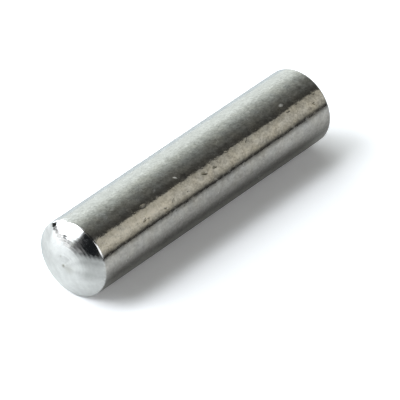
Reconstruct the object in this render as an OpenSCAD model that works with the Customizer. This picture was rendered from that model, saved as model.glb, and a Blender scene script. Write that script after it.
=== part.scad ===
// Parallel dowel pin with two domed ends, turned from one length of steel bar.
// The pin lies along X with its middle at the origin.

/* [Shank] */
// Diameter of the straight shank
shank_d = 6; // [4:0.25:8]
// Overall length, over both domes
pin_length = 28; // [14:0.5:60]

/* [Domed ends] */
// Radius of the dome on each end
dome_r = 4.7; // [4.5:0.1:12]
// Radius of the rounded edge between shank and dome
edge_r = 0.2; // [0.1:0.05:0.5]

/* [Centre mark] */
// Width of the hollow that the turning tool left in the middle of the front dome
mark_d = 0.4; // [0.2:0.05:1]
// Depth of that hollow
mark_depth = 0.04; // [0.02:0.01:0.1]

/* [Hidden] */
$fn = 128;

// Angle at which the rounded edge runs out into the shank and into the dome
edge_run_out = 6;
// How far the waste of a turning cut stands clear of the bar
clear = 1;

shank_r = shank_d / 2;
// Middle of each dome's ball, measured along the pin from its middle
dome_centre = pin_length / 2 - dome_r;

// The rounded edge is a ring: its section is a circle that sits inside the corner
// where shank and dome would meet
ring_r = shank_r - edge_r;
ring_x = dome_centre + sqrt(pow(dome_r - edge_r, 2) - pow(ring_r, 2));
ring_wire_r = edge_r / cos(edge_run_out);
// Angle, off the pin's cross section, of the line where edge and dome meet
dome_line = atan2(ring_x - dome_centre, ring_r);

// Ball that cuts the centre mark: its cap is mark_d wide and mark_depth deep
mark_ball_r = (pow(mark_d / 2, 2) + pow(mark_depth, 2)) / (2 * mark_depth);

// Length of bar that the pin is turned from, upright
module bar() {
  cylinder(d = shank_d, h = pin_length, center = true);
}

// What is turned off the top end of the bar to leave the dome
module dome_waste() {
  difference() {
    translate([0, 0, ring_x - edge_r])
      cylinder(r = shank_r + clear, h = pin_length / 2 - ring_x + edge_r + clear);
    translate([0, 0, dome_centre])
      sphere(dome_r);
  }
}

// What is taken off the corner between shank and dome to leave the rounded edge
module edge_waste() {
  corner = edge_r + clear;
  rotate_extrude()
    translate([ring_r, ring_x])
      difference() {
        polygon([
          [0, 0],
          [corner, 0],
          [corner, corner],
          corner * [cos(dome_line), sin(dome_line)],
        ]);
        circle(ring_wire_r);
      }
}

// What the tool pulled out of the middle of the dome
module centre_mark() {
  translate([0, 0, pin_length / 2 + mark_ball_r - mark_depth])
    sphere(mark_ball_r);
}

module pin() {
  color([0.76, 0.77, 0.77])
    rotate([0, 90, 0])
      difference() {
        bar();
        for (side = [0, 1])
          mirror([0, 0, side]) {
            dome_waste();
            edge_waste();
          }
        mirror([0, 0, 1])
          centre_mark();
      }
}

pin();
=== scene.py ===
"""Dressing of the dowel pin: turned and tumbled steel on a pale bench, in the workshop it mirrors.

Lengths are written in millimetres times MM, because the frame is in metres.
The pin lies along X, the front dome points to -X and Z is up.
"""

import math
from types import SimpleNamespace

import bpy
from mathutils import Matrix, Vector


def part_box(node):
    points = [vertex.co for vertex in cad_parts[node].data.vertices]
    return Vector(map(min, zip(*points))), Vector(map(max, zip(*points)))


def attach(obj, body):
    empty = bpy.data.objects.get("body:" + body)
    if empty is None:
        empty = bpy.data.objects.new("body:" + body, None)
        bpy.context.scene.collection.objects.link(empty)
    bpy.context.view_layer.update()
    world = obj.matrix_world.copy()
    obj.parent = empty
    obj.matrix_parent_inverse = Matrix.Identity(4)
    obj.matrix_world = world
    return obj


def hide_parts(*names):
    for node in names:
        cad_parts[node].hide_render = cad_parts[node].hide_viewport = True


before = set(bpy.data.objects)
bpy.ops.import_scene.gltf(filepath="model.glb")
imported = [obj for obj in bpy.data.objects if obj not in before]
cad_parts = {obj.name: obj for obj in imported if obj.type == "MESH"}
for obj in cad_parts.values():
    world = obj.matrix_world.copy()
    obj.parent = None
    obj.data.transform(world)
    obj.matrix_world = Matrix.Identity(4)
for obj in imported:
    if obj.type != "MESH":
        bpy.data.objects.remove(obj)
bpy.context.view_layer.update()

MM = 0.001

# --- Form of the pin --------------------------------------------------------------------------

pin_low, pin_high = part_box("pin")
HALF_LENGTH = pin_high.x
DOME_RADIUS = 4.7 * MM
SHANK_RADIUS = -pin_low.z

PIN_SIZES = {
    "Shank Radius": SHANK_RADIUS,
    "Half Length": HALF_LENGTH,
    "Dome Radius": DOME_RADIUS,
    "Edge Round": 0.2 * MM,
    "Roll Off Width": 0.45 * MM,  # the tumbled shank drops a little before each edge
    "Front Drop": 0.017 * MM,
    "Back Drop": 0.012 * MM,
    "Mark Width": 0.4 * MM,  # centre mark on the front dome
    "Mark Depth": 0.04 * MM,
    "Peel Height": 0.008 * MM,  # tumbled surface, hill to hollow
    "Peel Size": 0.8 * MM,
}
PIN_COUNTS = {
    "Facets Round": 236,
    "Dome Rows": 56,
    "Edge Rows": 8,
    "Roll Off Rows": 5,
    "Shank Rows": 134,  # from a roll-off to the middle of the pin
    "Seed": 7,
}
ROLL_OFF_POWER = 1.5
PEEL_GROWS_OVER = 0.2 * MM  # the run of shank, from its edge, in which the peel reaches its height
PEEL_ON_DOMES = 0.2  # share of the peel that the domes keep
PEEL_DETAIL = 1.5
WELD_DISTANCE = 1e-7

# --- Surface of the steel ---------------------------------------------------------------------
# Heights and depths in the steel are in mm. Angles go down from the top of the shank on the
# right, and all angles are in degrees.

STEEL_COLOUR = (0.76, 0.77, 0.77)
STEEL_ROUGHNESS = 0.085
DOME_DULLNESS = 0.4  # how much roughness the dull patches add on the domes
SHANK_DULLNESS = 0.4  # and how much more on the shank

SHANK_END = HALF_LENGTH - 1.1 * MM  # where the domes begin
DOME_FADE = 0.2 * MM  # width over which shank turns into dome
GRAIN_STRETCH = 0.8  # the grain is longer along the pin than round it
GRAIN_WIND = 0.03  # radians it winds round the pin in each millimetre
PATTERNS = {
    # noise in the grain: shift of the pattern, features in each mm, detail and its roughness
    "waves": ((0, 0, 0), 3.0, 1.0, 0.5),
    "swells": ((3, 0, 0), 1.1, 0.0, 0.5),
    "flecks": ((0, 5, 0), 5.0, 1.0, 0.5),
    "clouds": ((0, 0, 9), 0.8, 2.0, 0.5),
    "mottle": ((7, 0, 0), 2.4, 3.0, 0.6),
    "speckle": ((0, 1, 0), 6.5, 1.0, 0.5),
    "tint": ((0, 3, 0), 1.2, 1.0, 0.5),
    "dull patches": ((0, 0, 2), 2.6, 2.0, 0.5),
}

SHANK_WAVES = 0.0058
WAVES_EVERYWHERE = 0.001
SHANK_SWELLS = 0.013
FLECK_LIMIT = 0.13  # of the noise, what rises above this is a fleck
FLECK_DEPTH = 0.012
CALM_SIDE = (56, 64, 1.0, 0.4)  # between these angles the relief falls from all to 0.4 of its height

SCRATCH_LEANS = ((36, 1.0), (-28, 2.0))  # tilt from the pin's axis, and a shift of the pattern
SCRATCHES_ALONG = 1.1  # scratches in each mm of their own length
SCRATCHES_ACROSS = 11
SCRATCH_LIMIT = 0.05
SCRATCH_DEPTH = 0.0035

RING_PITCH = 0.24 * MM  # turning rings on the domes
RING_HEIGHT = 0.0028
RING_STRENGTH = 0.3  # about which the rings swell and fade
RING_CHANGES = 3  # changes of strength in each mm away from the axis
RING_ARCS = 0.6  # changes of strength in each radian
RING_SHIFT = 4.0

NICK_HAZE = 0.2  # roughness in the middle of a nick
NICKS = (
    # along the pin in mm, angle, tilt, length, width and depth in mm, and the share of light taken by
    # its dirt and painted shade in the hollow
    (-0.97, 48.2, 22, 0.72, 0.25, 0.0225, 0.5),
    (0.19, 49.1, 12, 0.54, 0.18, 0.018, 0.46),
    (-7.94, 55.2, -20, 0.52, 0.18, 0.021, 0.4),
    (-7.55, 56.5, 10, 0.30, 0.14, 0.015, 0.3),
    (-5.70, 58.6, 25, 0.34, 0.18, 0.018, 0.35),
    (-4.75, 55.5, -30, 0.60, 0.20, 0.009, 0.25),
    (-3.1, 57.0, 30, 0.30, 0.14, 0.009, 0.2),
    (11.65, 54.2, 15, 0.34, 0.22, 0.018, 0.38),
    (12.1, 42.0, 0, 0.26, 0.15, 0.015, 0.3),
    (9.05, 42.5, 10, 0.42, 0.18, 0.0135, 0.3),
    (4.1, 42.5, -35, 0.50, 0.14, 0.009, 0.25),
    (1.9, 40.5, 20, 0.40, 0.14, 0.009, 0.25),
    (-3.42, 30.6, 42, 0.46, 0.12, 0.021, 0.0),
    (-7.4, 27.0, -18, 1.00, 0.44, 0.00225, 0.0),
    (-5.7, 28.5, -24, 0.60, 0.24, 0.0045, 0.0),
    (-7.4, 38.4, 5, 0.70, 0.34, 0.0105, 0.0),
    (-9.7, 17.5, 24, 0.44, 0.20, 0.0045, 0.0),
    (-10.7, 23.5, -15, 0.90, 0.46, 0.00225, 0.0),
    (2.9, 70.0, -30, 0.30, 0.14, 0.009, 0.2),
)
SCUFFS = (
    # duller spots: along the pin in mm, angle, tilt, length and width in mm, and added roughness
    (8.88, 29.8, 5, 0.62, 0.36, 0.5),
)
STAINS = (
    # on the front dome: mm left of the axis, mm above it, radius in mm, share of light it takes; the
    # last is a broad darker patch beside the centre mark
    (0.02, -0.03, 0.2, 0.45),
    (0.29, 0.64, 0.14, 0.25),
    (-0.4, -0.12, 0.65, 0.22),
)
STAINS_END = 1 * MM  # this close to the pin's middle, so that the back dome has none

WORN = (5, 85, 40)  # angles between which the shank is worn, and how softly that ends
CLOUD_SHADE = 0.06  # change of brightness, and the same again where worn
MOTTLE_SHADE = 0.4
MOTTLE_WORN = 0.7
SPECKLE_STARTS = (-15, 8, 0.3, 1.0)  # two angles, and the share of the speckle at each
SPECKLE_ENDS = (60, 66, 1.0, 0.6)
SPECKLE_LOST = 0.3  # share of it that wear takes
TINT_SHADE = 0.15  # how far wear turns warm or cool
TINT_RED = 0.5  # share of that for the red
DIRT_AND_SHADE_COLOUR = (1.0, 1.03, 1.15)  # share of red, green and blue light that dirt and the painted shade in the nicks take
PAINTED_BRIGHT_REFLECTIONS = (
    # painted reflection, places made brighter where the room and bench mirrored there look brighter:
    # along the pin in mm, angles, and how much brighter
    ((-15, -4.5), (40, 60), 0.24),
    ((-15, -5), (66, 94), 0.15),
    ((6, 15), (68, 96), 0.12),
)
PAINTED_BRIGHT_SOFT_ALONG = 5 * MM  # how softly those painted brighter places end
PAINTED_BRIGHT_SOFT_ROUND = 14

# --- Bench ------------------------------------------------------------------------------------
# Azimuths run from +X towards -Y, in degrees.

BENCH_REACH = 170 * MM
BENCH_TONE = 0.84
BENCH_WHITE = (1.287, 1.30, 1.33)  # the same bench as the camera sees it
BENCH_GLOSS = 0.22
BENCH_ROUGHNESS = 0.36
BENCH_SHADES = {
    # painted light and shade on the bench, seen only in the steel: azimuth, and tone of the bench by
    # the distance that way from the middle of the dome's ball
    "behind": (350, ((1.5 * MM, 1.0), (5 * MM, 0.87))),
    "far": (140, ((16 * MM, 1.0), (60 * MM, 0.25))),
    "front": (110, ((3.5 * MM, 0.95), (8 * MM, 0.64))),
    "left": (270, (
        (5 * MM, 0.77),
        (7.3 * MM, 0.78),
        (9.7 * MM, 0.87),
        (13.7 * MM, 1.02),
        (23 * MM, 1.1),
    )),
    "right": (90, (
        (0.8 * MM, 0.86),
        (1.5 * MM, 0.62),
        (2.1 * MM, 0.78),
        (2.6 * MM, 0.77),
        (3.4 * MM, 0.56),
        (4.2 * MM, 0.53),
        (5.8 * MM, 0.56),
        (7.4 * MM, 0.66),
        (10 * MM, 0.72),
        (19 * MM, 0.69),
        (30 * MM, 0.49),
        (43 * MM, 0.33),
        (90 * MM, 0.18),
        (160 * MM, 0.1),
    )),
}
BESIDE_STARTS = (1 * MM, 4 * MM)  # this far behind the front end the bench comes to lie beside the pin
PAINTED_BENCH_PATCHES = (
    # painted patches of light and shade on the bench, seen only in the steel: place along and left of
    # the pin, radius in mm, and gain
    (-21.5, 3.4, 5.5, -0.24),
    (-16.5, 10.5, 4.0, 0.12),
    (-14.5, 21.0, 7.0, -0.28),
    (-17.0, -2.4, 3.0, -0.28),
    (-26.0, -7.5, 8.0, -0.24),
    (-31.0, -1.0, 7.0, 0.12),
    (14.0, -4.0, 6.0, 0.08),
)
BENCH_PAINTED_WARMTH_OVER = 5 * MM  # painted tint of the light on the bench, seen only in the steel: warmest this far right of the axis, coolest as far left
BENCH_RED = (0.98, 0.05)  # share of red on the axis, and what the painted warm light adds to it
BENCH_BLUE = (0.988, -0.038)

# --- Room and camera --------------------------------------------------------------------------
# Elevations run up from the horizon, in degrees.

NEUTRAL = (1.0, 1.0, 1.0)
DAYLIGHT = (0.968, 1.0, 1.03)
ROOM_FALL_OFF = (
    # share of the direction that points left, and the radiance there
    (-1.0, (0.053, 0.052, 0.047)),
    (-0.39, (0.046, 0.044, 0.038)),
    (-0.27, (0.056, 0.054, 0.047)),
    (-0.14, (0.108, 0.107, 0.095)),
    (-0.01, (0.118, 0.118, 0.104)),
    (0.12, (0.187, 0.190, 0.171)),
    (0.25, (0.288, 0.299, 0.270)),
    (0.37, (0.417, 0.434, 0.396)),
    (0.48, (0.570, 0.597, 0.547)),
    (0.57, (0.726, 0.758, 0.709)),
    (0.65, (0.840, 0.883, 0.834)),
    (1.0, (0.831, 0.881, 0.866)),
)
ROOM_VIEWS = (
    # name, azimuths, elevations, softness of each, colour, radiance
    ("lit wall behind the camera", (66, 135), (10.5, 41.5), (10, 4), NEUTRAL, 1.25),
    ("dark ceiling", (40, 150), (46, 82), (10, 5), NEUTRAL, 0.015),
    ("dark side of the room", (150, 194), (-8, 38), (12, 8), (0.85, 0.95, 1.05), 0.012),
    ("glow along the horizon", (180, 206), (-8, 4), (16, 8), NEUTRAL, 0.35),
    ("reveal of the window", (184.5, 191), (12, 30), (5, 5), NEUTRAL, 0.09),
    ("window", (176, 250), (6, 58), (3, 3), DAYLIGHT, 4.0),
    ("its upper panes", (200, 250), (41, 58), (6, 8), DAYLIGHT, 5.0),
    ("low window on the left", (256, 306), (3, 30), (6, 6), DAYLIGHT, 2.8),
    ("roof light", (212, 300), (60, 72), (8, 5), DAYLIGHT, 4.7),
    ("its far end", (300, 354), (66, 80), (8, 5), DAYLIGHT, 1.3),
    ("strip under the sill", (204, 246), (-3, 6), (4, 3), NEUTRAL, 1.05),
    ("can at the far side", (246, 259), (-4, 9), (5, 5), NEUTRAL, 0.0),
    ("jar beside it", (237, 246), (1, 5), (4, 4), NEUTRAL, 0.2),
    ("vice on the sill", (214, 223), (5, 10), (4, 4), NEUTRAL, 0.1),
    ("its handle", (204, 211), (4, 9), (4, 4), NEUTRAL, 0.3),
    ("box at the end of the sill", (184, 197), (3, 13), (9, 5), NEUTRAL, 0.12),
    ("pasteboard", (0, 64), (-9, 40.5), (6, 3), (1.055, 0.98, 0.80), 0.335),
    ("its lit middle", (12, 64), (15, 27), (6, 9), (1.055, 0.98, 0.81), 0.445),
    ("shade at its foot", (6, 102), (-20, 6.5), (8, 11), (1.04, 1.0, 0.92), 0.025),
)
LEANING_SIDES = {
    # how far a side leans, where the view starts past it, and how softly, low down and high up
    "window": (13, 187.3, 48, 15),
    "its upper panes": (20, 190, 16, 16),
    "pasteboard": (-38.4, 3.15, 2, 2),
}
LOW_AND_HIGH = (8, 22)  # elevations that count as low down and high up

CAMERA_AZIMUTH = -51.373
CAMERA_ELEVATION = 33.310
CAMERA_DISTANCE = 360.506 * MM
CAMERA_AIM = Vector((-1.4663, -2.2593, 0)) * MM
CAMERA_LENS = 453.610
CAMERA_SENSOR = 36


# --- Arithmetic in node trees -----------------------------------------------------------------


class Formula:
    """A number or vector inside a node tree, so that a rule reads as plain arithmetic."""

    def __init__(self, socket):
        self.socket = socket
        self.tree = socket.id_data

    def math(self, operation, *others):
        node = self.tree.nodes.new("ShaderNodeMath")
        node.operation = operation
        for value, socket in zip((self, *others), node.inputs):
            plug(self.tree, value, socket)
        return Formula(node.outputs[0])

    def moved(self, other):
        """This vector plus another."""
        inputs = {0: self, 1: other}
        return Formula(add_node(self.tree, "ShaderNodeVectorMath", inputs).outputs["Vector"])

    def scaled(self, factor):
        """This vector times a number."""
        inputs = {0: self, "Scale": factor}
        node = add_node(self.tree, "ShaderNodeVectorMath", inputs, operation="SCALE")
        return Formula(node.outputs["Vector"])

    def __add__(self, other):
        return self.math("ADD", other)

    def __radd__(self, other):
        return self.math("ADD", other)

    def __sub__(self, other):
        return self.math("SUBTRACT", other)

    def __rsub__(self, other):
        return (self * -1).math("ADD", other)

    def __mul__(self, other):
        return self.math("MULTIPLY", other)

    def __truediv__(self, other):
        return self.math("DIVIDE", other)

    def __neg__(self):
        return self * -1

    def sin(self):
        return self.math("SINE")

    def cos(self):
        return self.math("COSINE")

    def sqrt(self):
        return self.math("SQRT")

    def size(self):
        return self.math("ABSOLUTE")

    def sign(self):
        return self.math("SIGN")

    def power(self, exponent):
        return self.math("POWER", exponent)

    def at_least(self, other):
        return self.math("MAXIMUM", other)

    def spread(self, low, high, start=0.0, end=1.0, smooth=False):
        """Runs from start to end while this value goes from low to high, and stays there outside."""
        node = self.tree.nodes.new("ShaderNodeMapRange")
        node.interpolation_type = "SMOOTHSTEP" if smooth else "LINEAR"
        node.clamp = True
        for value, name in zip((self, low, high, start, end), MAP_RANGE_INPUTS):
            plug(self.tree, value, node.inputs[name])
        return Formula(node.outputs["Result"])

    def spread_degrees(self, low, high, start, end):
        """Spread for an angle in radians, with low and high in degrees."""
        return self.spread(math.radians(low), math.radians(high), start, end)

    def band(self, low, high, soft):
        """1 between low and high, falling to 0 over the width soft at either side."""
        rise = self.spread(low - soft / 2, low + soft / 2, smooth=True)
        fall = self.spread(high - soft / 2, high + soft / 2, 1.0, 0.0, smooth=True)
        return rise * fall

    def band_degrees(self, low, high, soft):
        """Band for an angle in radians, with low, high and soft in degrees."""
        return self.band(math.radians(low), math.radians(high), math.radians(soft))


MAP_RANGE_INPUTS = ("Value", "From Min", "From Max", "To Min", "To Max")
MIX_FACTOR, MIX_UNDER, MIX_OVER = 0, 6, 7  # inputs of a Mix node that mixes colours
MIX_RESULT = 2


def plug(tree, value, socket):
    """Links a formula to a socket, or writes a plain value on it."""
    if isinstance(value, Formula):
        tree.links.new(value.socket, socket)
    else:
        socket.default_value = value


def add_node(tree, kind, inputs=None, **settings):
    """Adds a node, with its settings and the values of its named inputs."""
    node = tree.nodes.new(kind)
    for name, value in settings.items():
        setattr(node, name, value)
    for name, value in (inputs or {}).items():
        plug(tree, value, node.inputs[name])
    return node


def vector(tree, x, y, z):
    node = add_node(tree, "ShaderNodeCombineXYZ", {"X": x, "Y": y, "Z": z})
    return Formula(node.outputs["Vector"])


def split(value):
    node = add_node(value.tree, "ShaderNodeSeparateXYZ", {"Vector": value})
    return [Formula(socket) for socket in node.outputs]


def distance_to(x, y, place_x, place_y):
    """Distance in a plane from x, y to a place given in mm."""
    aside, above = x - place_x * MM, y - place_y * MM
    return (aside * aside + above * above).sqrt()


def noise(place, scale, detail=0.0, roughness=0.5):
    """Smooth noise about 0, mostly within -0.5 and 0.5."""
    inputs = {"Vector": place, "Scale": scale, "Detail": detail, "Roughness": roughness}
    node = add_node(place.tree, "ShaderNodeTexNoise", inputs)
    return Formula(node.outputs[0]) - 0.5


# --- The pin ----------------------------------------------------------------------------------


def lathe_grid(tree, half_rows, facets):
    """A flat grid, one row for each station along the profile and one column for each facet."""
    grid = add_node(tree, "GeometryNodeMeshGrid", {
        "Size X": half_rows * 2,
        "Size Y": facets,
        "Vertices X": half_rows * 2 + 1,
        "Vertices Y": facets + 1,
    })
    return Formula(grid.outputs["Mesh"])


def turned_pin_tree(steel):
    """Geometry Nodes that turn the pin's profile about X and give it its tumbled surface."""
    tree = bpy.data.node_groups.new("turned pin", "GeometryNodeTree")
    for name in PIN_SIZES:
        tree.interface.new_socket(name, in_out="INPUT", socket_type="NodeSocketFloat")
    for name in PIN_COUNTS:
        tree.interface.new_socket(name, in_out="INPUT", socket_type="NodeSocketInt")
    tree.interface.new_socket("Pin", in_out="OUTPUT", socket_type="NodeSocketGeometry")
    entry = tree.nodes.new("NodeGroupInput")
    given = {name: Formula(entry.outputs[name]) for name in (*PIN_SIZES, *PIN_COUNTS)}

    edge_row = given["Dome Rows"] + given["Edge Rows"]
    roll_row = edge_row + given["Roll Off Rows"]
    half_rows = roll_row + given["Shank Rows"]
    facets = given["Facets Round"]
    grid = lathe_grid(tree, half_rows, facets)
    flat = Formula(tree.nodes.new("GeometryNodeInputPosition").outputs["Position"])
    row_from_middle, column, _ = split(flat)
    end = row_from_middle.sign()
    row = half_rows - row_from_middle.size()
    turn = column * (2 * math.pi) / facets

    # The profile from the pole of a dome: its arc, the edge round, then the straight shank.
    dome, edge, shank = given["Dome Radius"], given["Edge Round"], given["Shank Radius"]
    edge_lean = ((shank - edge) / (dome - edge)).math("ARCSINE")
    dome_lean = row.spread(0.0, given["Dome Rows"], 0.0, edge_lean)
    edge_turn = row.spread(given["Dome Rows"], edge_row, 0.0, math.pi / 2 - edge_lean)
    lean = dome_lean + edge_turn
    edge_start = dome * (1 - edge_lean.cos()) + edge * edge_lean.cos()
    straight = given["Half Length"] - edge_start
    roll_width = given["Roll Off Width"]
    roll_run = row.spread(edge_row, roll_row, 0.0, roll_width)
    run = roll_run + row.spread(roll_row, half_rows, 0.0, straight - roll_width)
    edge_now = edge_lean + edge_turn
    edge_set_back = edge * (edge_lean.cos() - edge_now.cos())
    edge_rise = edge * (edge_now.sin() - edge_lean.sin())
    set_back = dome * (1 - dome_lean.cos()) + edge_set_back
    along = end * (given["Half Length"] - set_back - run)
    reach = dome * dome_lean.sin() + edge_rise
    round_y, round_z = turn.sin(), turn.cos()
    smooth = vector(tree, along, reach * round_y, reach * round_z)
    outward = vector(tree, end * lean.cos(), lean.sin() * round_y, lean.sin() * round_z)

    # What leaves the true profile: the roll-off, the centre mark, the tumbled hills and hollows.
    drop = end.spread(-1.0, 1.0, given["Front Drop"], given["Back Drop"])
    roll_off = -drop * (1 - run / roll_width).at_least(0.0).power(ROLL_OFF_POWER)
    in_mark = (reach * 2 / given["Mark Width"]).spread(0.0, 1.0, 1.0, 0.0, smooth=True)
    mark = -given["Mark Depth"] * in_mark * (-end).at_least(0.0)
    seed_shift = vector(tree, given["Seed"], given["Seed"] * 2, given["Seed"] * 3)
    peel_place = smooth.scaled(given["Peel Size"].power(-1.0)).moved(seed_shift)
    peel_share = run.spread(0.0, PEEL_GROWS_OVER) * (1 - PEEL_ON_DOMES) + PEEL_ON_DOMES
    peel = given["Peel Height"] * noise(peel_place, 1.0, PEEL_DETAIL) * peel_share

    turned = add_node(tree, "GeometryNodeSetPosition", {
        "Geometry": grid,
        "Position": smooth.moved(outward.scaled(roll_off + mark + peel)),
    })
    finish_pin(tree, Formula(turned.outputs["Geometry"]), steel)
    return tree


def finish_pin(tree, shape, steel):
    """Closes the turned shape, gives it its material and hands it out of the tree."""
    steps = (
        ("GeometryNodeMergeByDistance", {"Distance": WELD_DISTANCE}),
        ("GeometryNodeSetShadeSmooth", {}),
        ("GeometryNodeRealizeInstances", {}),
        ("GeometryNodeSetMaterial", {"Material": steel}),
    )
    for kind, inputs in steps:
        node = add_node(tree, kind, {"Geometry": shape, **inputs})
        shape = Formula(node.outputs["Geometry"])
    add_node(tree, "NodeGroupOutput", {"Pin": shape})


def plain_mesh_from(tree, name, values):
    """Runs a Geometry Nodes tree with these values and returns its result as a plain mesh object."""
    blank = bpy.data.objects.new(name + "_blank", bpy.data.meshes.new(name + "_blank"))
    bpy.context.scene.collection.objects.link(blank)
    modifier = blank.modifiers.new("shape", "NODES")
    modifier.node_group = tree
    for item in tree.interface.items_tree:
        if item.in_out == "INPUT":
            modifier[item.identifier] = values[item.name]
    bpy.context.view_layer.update()
    evaluated = blank.evaluated_get(bpy.context.evaluated_depsgraph_get())
    mesh = bpy.data.meshes.new_from_object(evaluated)
    mesh.name = name
    bpy.data.objects.remove(blank)
    made = bpy.data.objects.new(name, mesh)
    bpy.context.scene.collection.objects.link(made)
    return made


# --- Steel ------------------------------------------------------------------------------------


def new_material(name):
    material = bpy.data.materials.new(name)
    material.use_nodes = True
    material.node_tree.nodes.clear()
    return material, material.node_tree


def steel_place(tree):
    """Where a point of the pin's surface lies, and how far it counts as shank, dome and worn."""
    x, y, z = split(Formula(tree.nodes.new("ShaderNodeTexCoord").outputs["Object"]))
    turn = (-y).math("ARCTAN2", z)
    on_dome = x.size().spread(SHANK_END, SHANK_END + DOME_FADE)
    on_shank = 1 - on_dome
    wind = x * (GRAIN_WIND / MM)
    wound_y = (y * wind.cos() + z * wind.sin()) * (1 / MM)
    wound_z = (z * wind.cos() - y * wind.sin()) * (1 / MM)
    return SimpleNamespace(
        tree=tree,
        x=x,
        y=y,
        z=z,
        turn=turn,
        around=turn * SHANK_RADIUS,
        on_dome=on_dome,
        on_shank=on_shank,
        worn=turn.band_degrees(*WORN) * on_shank,
        grain=vector(tree, x * (GRAIN_STRETCH / MM), wound_y, wound_z),
    )


def pattern(place, name):
    """One of the noises in the steel's grain."""
    shift, scale, detail, roughness = PATTERNS[name]
    return noise(place.grain.moved(shift), scale, detail, roughness)


def tilted(along, around, tilt):
    """Distances along and across a line on the unrolled shank that is tilted from its axis."""
    cosine, sine = math.cos(math.radians(tilt)), math.sin(math.radians(tilt))
    return along * cosine + around * sine, around * cosine - along * sine


def oval(place, at, angle, tilt, length, width):
    """1 in the middle of a small oval on the shank, falling smoothly to 0 at its outline."""
    from_middle = place.around - math.radians(angle) * SHANK_RADIUS
    lengthwise, across = tilted(place.x - at * MM, from_middle, tilt)
    lengthwise = lengthwise * (2 / (length * MM))
    across = across * (2 / (width * MM))
    return (1 - (lengthwise * lengthwise + across * across)).at_least(0.0)


def scratch_lines(place):
    """Short fine scratches that lean two ways over the shank, each up to about 0.4."""
    lines = 0.0
    for lean, shift in SCRATCH_LEANS:
        lengthwise, across = tilted(place.x, place.around, lean)
        lengthwise = lengthwise * (SCRATCHES_ALONG / MM)
        across = across * (SCRATCHES_ACROSS / MM)
        streak = noise(vector(place.tree, lengthwise, across, shift), 1.0)
        lines = lines + (streak - SCRATCH_LIMIT).at_least(0.0)
    return lines


def turning_rings(place):
    """Fine rings that the turning tool left on the domes, stronger and weaker by turns."""
    from_axis = (place.y * place.y + place.z * place.z).sqrt()
    swing = from_axis * (2 * math.pi / RING_PITCH)
    changes = vector(place.tree, from_axis * (RING_CHANGES / MM), place.turn * RING_ARCS, RING_SHIFT)
    return swing.sin() * (noise(changes, 1.0, detail=1.0) + RING_STRENGTH) * place.on_dome


def nick_marks(place):
    """Depth of the nicks in mm, the roughness they and the scuffs add, and the dirt and painted shade
    in them.
    """
    depths = 0.0
    haze = 0.0
    dirt_and_nick_shade = 0.0
    for *where, depth, dirt_and_shade_share in NICKS:
        nick = oval(place, *where)
        depths = depths + nick * depth
        haze = haze + nick * NICK_HAZE
        # Darkening in the nick: partly dirt, partly painted shade in its hollow.
        if dirt_and_shade_share:
            dirt_and_nick_shade = dirt_and_nick_shade + nick.sqrt() * dirt_and_shade_share
    for *where, dullness in SCUFFS:
        haze = haze + oval(place, *where) * dullness
    return depths, haze, dirt_and_nick_shade


def stain_marks(place):
    """Share of light that the stains and the broad darker patch on the front dome take."""
    stains = 0.0
    for left, up, radius, share in STAINS:
        distance = distance_to(place.y, place.z, left, up)
        stains = stains + distance.spread(0.0, radius * MM, share, 0.0, smooth=True)
    return stains * place.on_dome * place.x.spread(-STAINS_END, STAINS_END, 1.0, 0.0)


def steel_height(place, flecks, nicks):
    """Height of the steel's fine relief."""
    calm = place.turn.spread_degrees(*CALM_SIDE)
    waves = pattern(place, "waves") * (place.on_shank * calm * SHANK_WAVES + WAVES_EVERYWHERE)
    swells = pattern(place, "swells") * place.on_shank * calm * SHANK_SWELLS
    pits = flecks * place.on_shank * FLECK_DEPTH
    scratches = scratch_lines(place) * place.on_shank * calm * SCRATCH_DEPTH
    rings = turning_rings(place) * RING_HEIGHT
    return (waves + swells - pits - scratches + rings - nicks) * MM


def steel_colour(place, dirt_and_nick_shade):
    """Colour of the steel: clouded, mottled and speckled, with painted brighter reflections in places,
    and dirt and painted shade in the nicks.
    """
    worn = place.worn
    clouds = pattern(place, "clouds") * (CLOUD_SHADE + worn * CLOUD_SHADE)
    mottle = pattern(place, "mottle") * (MOTTLE_SHADE + worn * MOTTLE_WORN)
    speckled = place.turn.spread_degrees(*SPECKLE_STARTS) * place.on_shank
    speckled = speckled * place.turn.spread_degrees(*SPECKLE_ENDS)
    speckle = pattern(place, "speckle") * speckled * (1 - worn * SPECKLE_LOST)
    shade = 1 + clouds + mottle + speckle
    # Painted reflection: brighter places where the mirrored room and bench look brighter.
    for length, arc, gain in PAINTED_BRIGHT_REFLECTIONS:
        painted_bright = place.turn.band_degrees(*arc, PAINTED_BRIGHT_SOFT_ROUND)
        painted_bright = place.x.band(length[0] * MM, length[1] * MM, PAINTED_BRIGHT_SOFT_ALONG) * painted_bright
        shade = shade + painted_bright * gain
    tint = pattern(place, "tint") * worn * TINT_SHADE
    tones = (1 + tint * TINT_RED, 1, 1 - tint)
    colour = [shade * (tone - dirt_and_nick_shade * share) * base
              for tone, share, base in zip(tones, DIRT_AND_SHADE_COLOUR, STEEL_COLOUR)]
    return vector(place.tree, *colour)


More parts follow.
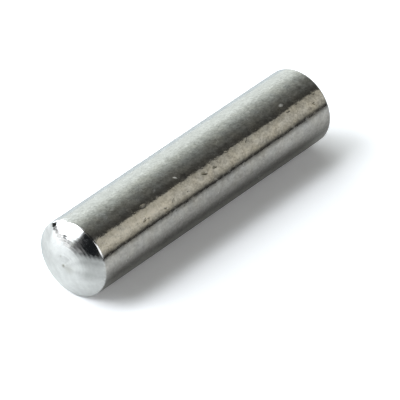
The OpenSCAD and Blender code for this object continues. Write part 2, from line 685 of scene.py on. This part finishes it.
def tumbled_steel():
    """Hardened steel, ground and tumbled: mottled, finely grained, nicked and faintly scratched."""
    material, tree = new_material("tumbled_steel")
    place = steel_place(tree)
    flecks = (pattern(place, "flecks") - FLECK_LIMIT).at_least(0.0)
    nicks, haze, nick_dirt_and_shade = nick_marks(place)
    height = steel_height(place, flecks, nicks)
    relief = add_node(tree, "ShaderNodeBump", {"Height": height, "Distance": 1.0})
    # Darkening: dirt and painted shade in the nicks, darker flecks in the pits where worn, and the
    # stains and darker patch on the front dome.
    dirt_and_nick_shade = nick_dirt_and_shade + flecks * place.worn + stain_marks(place)
    dull_patches = pattern(place, "dull patches").at_least(0.0)
    dull = dull_patches * (DOME_DULLNESS + place.on_shank * SHANK_DULLNESS) + haze
    surface = add_node(tree, "ShaderNodeBsdfPrincipled", {
        "Metallic": 1.0,
        "Base Color": steel_colour(place, dirt_and_nick_shade),
        "Roughness": dull + STEEL_ROUGHNESS,
        "Normal": Formula(relief.outputs["Normal"]),
    })
    add_node(tree, "ShaderNodeOutputMaterial", {"Surface": Formula(surface.outputs["BSDF"])})
    return material


# --- Surroundings -----------------------------------------------------------------------------


def is_camera_ray(tree):
    return Formula(tree.nodes.new("ShaderNodeLightPath").outputs["Is Camera Ray"])


def bench_shade(x, y, side):
    """Painted shade of the bench, as the steel mirrors it, by the distance from the front dome, on one
    side of it.
    """
    azimuth, steps = BENCH_SHADES[side]
    ahead, aside = math.cos(math.radians(azimuth)), -math.sin(math.radians(azimuth))
    distance = (x + HALF_LENGTH - DOME_RADIUS) * ahead + y * aside
    shade = steps[0][1]
    for (near, start), (far, end) in zip(steps, steps[1:]):
        shade = distance.spread(near, far, 1.0, end / start, smooth=True) * shade
    return shade


def pale_bench():
    """Pale bench with painted light and shade where the steel mirrors it, darker away from the
    windows. The camera sees it white, with the shadow.
    """
    material, tree = new_material("pale_bench")
    x, y, _ = split(Formula(tree.nodes.new("ShaderNodeTexCoord").outputs["Object"]))
    # Painted light and shade, seen only in the steel: the tone falls away from the windows, with a
    # painted shadow beside the pin.
    shades = {side: bench_shade(x, y, side) for side in BENCH_SHADES}
    beside = (x + HALF_LENGTH).spread(*BESIDE_STARTS)
    sides = shades["front"] * (1 - beside) + shades["left"] * shades["right"] * beside
    tone = sides * shades["behind"] * shades["far"] * BENCH_TONE
    # Painted patches of light and shade, seen only in the steel.
    for along, left, radius, gain in PAINTED_BENCH_PATCHES:
        distance = distance_to(x, y, along, left)
        tone = tone * distance.spread(0.0, radius * MM, 1 + gain, 1.0, smooth=True)
    # Painted tint of the light: warmer on the shaded right of the pin, cooler on the lit left.
    painted_warm_light = y.spread(-BENCH_PAINTED_WARMTH_OVER, BENCH_PAINTED_WARMTH_OVER, 1.0, -1.0) * beside
    red, blue = (painted_warm_light * change + share for share, change in (BENCH_RED, BENCH_BLUE))
    satin = add_node(tree, "ShaderNodeBsdfPrincipled", {
        "Base Color": vector(tree, tone * red, tone, tone * blue),
        "Roughness": BENCH_ROUGHNESS,
        "Specular IOR Level": BENCH_GLOSS,
    })
    matt = add_node(tree, "ShaderNodeBsdfDiffuse", {"Color": (*BENCH_WHITE, 1)})
    either = add_node(tree, "ShaderNodeMixShader", {
        "Fac": is_camera_ray(tree),
        1: Formula(satin.outputs["BSDF"]),
        2: Formula(matt.outputs["BSDF"]),
    })
    add_node(tree, "ShaderNodeOutputMaterial", {"Surface": Formula(either.outputs["Shader"])})
    return material


def lay_bench():
    """The bench top under the pin."""
    mesh = bpy.data.meshes.new("bench")
    corners = [(i * BENCH_REACH, j * BENCH_REACH, pin_low.z)
               for i, j in ((-1, -1), (1, -1), (1, 1), (-1, 1))]
    mesh.from_pydata(corners, [], [(0, 1, 2, 3)])
    mesh.materials.append(pale_bench())
    bench = bpy.data.objects.new("bench", mesh)
    bpy.context.scene.collection.objects.link(bench)


def layer(tree, under, colour, strength, mask):
    """Lays a colour at a strength over what is there, where the mask is 1."""
    node = add_node(tree, "ShaderNodeMix", data_type="RGBA")
    plug(tree, mask, node.inputs[MIX_FACTOR])
    plug(tree, under, node.inputs[MIX_UNDER])
    plug(tree, (*(part * strength for part in colour), 1), node.inputs[MIX_OVER])
    return Formula(node.outputs[MIX_RESULT])


def bearings(direction):
    """Azimuth and elevation of a direction."""
    x, y, z = split(direction)
    azimuth = y.math("ARCTAN2", -x) * (180 / math.pi) + 180
    flat = (x * x + y * y).sqrt()
    return azimuth, z.math("ARCTAN2", flat) * (180 / math.pi)


def past_side(azimuth, elevation, lean, start, soft_low, soft_high):
    """0 before a leaning side, 1 past it, over one width near the horizon and another above."""
    across = azimuth * math.cos(math.radians(lean)) + elevation * math.sin(math.radians(lean))
    full = elevation.spread(*LOW_AND_HIGH, start + soft_low, start + soft_high)
    return across.spread(start, full, smooth=True)


def bare_room(tree, direction):
    """The walls of the room, bright on the left and dark on the right."""
    left = split(direction)[1]
    ramp = add_node(tree, "ShaderNodeValToRGB", {"Fac": left.spread(-1.0, 1.0)})
    stops = ramp.color_ramp.elements
    while len(stops) > 1:
        stops.remove(stops[-1])
    for index, (across, radiance) in enumerate(ROOM_FALL_OFF):
        position = across / 2 + 0.5
        stop = stops[0] if index == 0 else stops.new(position)
        stop.position = position
        stop.color = (*radiance, 1)
    return Formula(ramp.outputs["Color"])


def paint_surroundings():
    """The room as the steel mirrors it, by direction. The camera sees plain white."""
    world = bpy.data.worlds.new("workshop")
    bpy.context.scene.world = world
    world.use_nodes = True
    tree = world.node_tree
    tree.nodes.clear()
    direction = Formula(tree.nodes.new("ShaderNodeTexCoord").outputs["Generated"])
    azimuth, elevation = bearings(direction)

    room = bare_room(tree, direction)
    for name, azimuths, elevations, softness, colour, radiance in ROOM_VIEWS:
        mask = azimuth.band(*azimuths, softness[0]) * elevation.band(*elevations, softness[1])
        if name in LEANING_SIDES:
            mask = mask * past_side(azimuth, elevation, *LEANING_SIDES[name])
        room = layer(tree, room, colour, radiance, mask)

    seen = layer(tree, room, NEUTRAL, 1.0, is_camera_ray(tree))
    background = add_node(tree, "ShaderNodeBackground", {"Color": seen, "Strength": 1.0})
    add_node(tree, "ShaderNodeOutputWorld", {"Surface": Formula(background.outputs["Background"])})


def set_camera():
    """A long lens, far off, before the front dome and to the right of the pin."""
    camera = bpy.data.objects.new("camera", bpy.data.cameras.new("camera"))
    bpy.context.scene.collection.objects.link(camera)
    azimuth, elevation = math.radians(CAMERA_AZIMUTH), math.radians(CAMERA_ELEVATION)
    flat = math.cos(elevation)
    back = Vector((math.sin(azimuth) * flat, -math.cos(azimuth) * flat, math.sin(elevation)))
    camera.location = CAMERA_AIM + back * CAMERA_DISTANCE
    camera.rotation_euler = back.to_track_quat("Z", "Y").to_euler()
    camera.data.sensor_width = CAMERA_SENSOR
    camera.data.lens = CAMERA_LENS
    bpy.context.scene.camera = camera


# --- Putting it together ----------------------------------------------------------------------

bpy.context.scene.view_settings.view_transform = "Standard"
set_camera()
paint_surroundings()
lay_bench()

pin = plain_mesh_from(turned_pin_tree(tumbled_steel()), "turned_pin", {**PIN_SIZES, **PIN_COUNTS})
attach(pin, "root")
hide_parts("pin")
